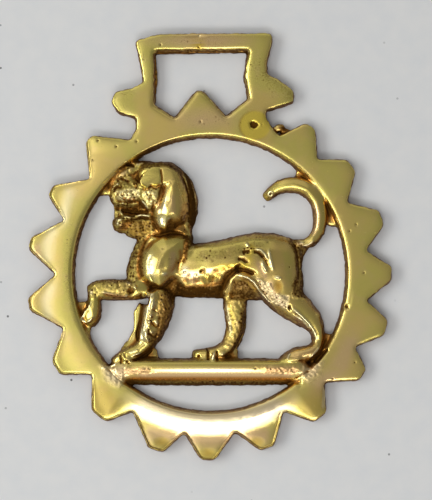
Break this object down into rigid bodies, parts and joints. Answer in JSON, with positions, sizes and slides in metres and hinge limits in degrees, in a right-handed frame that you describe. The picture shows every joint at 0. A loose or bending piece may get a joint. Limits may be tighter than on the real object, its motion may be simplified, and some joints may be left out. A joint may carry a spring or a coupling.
{
  "type": "horse brass",
  "caption": "Cast brass harness ornament: a toothed ring with a slotted strap hanger, and a long-eared dog stepping along a bar inside the ring.",
  "frame": {"origin": "middle of the flat back's outline, on the back face", "axes": "+Y up the front to the strap hanger, +X to the right seen from the front, +Z out of the front"},
  "size_m": [0.0768, 0.0906, 0.0059],
  "materials": {
    "cast_brass": "polished high parts, rough dark recesses"
  },
  "bodies": {
    "root": {"horse_brass": "cast_brass"}
  },
  "joints": []
}
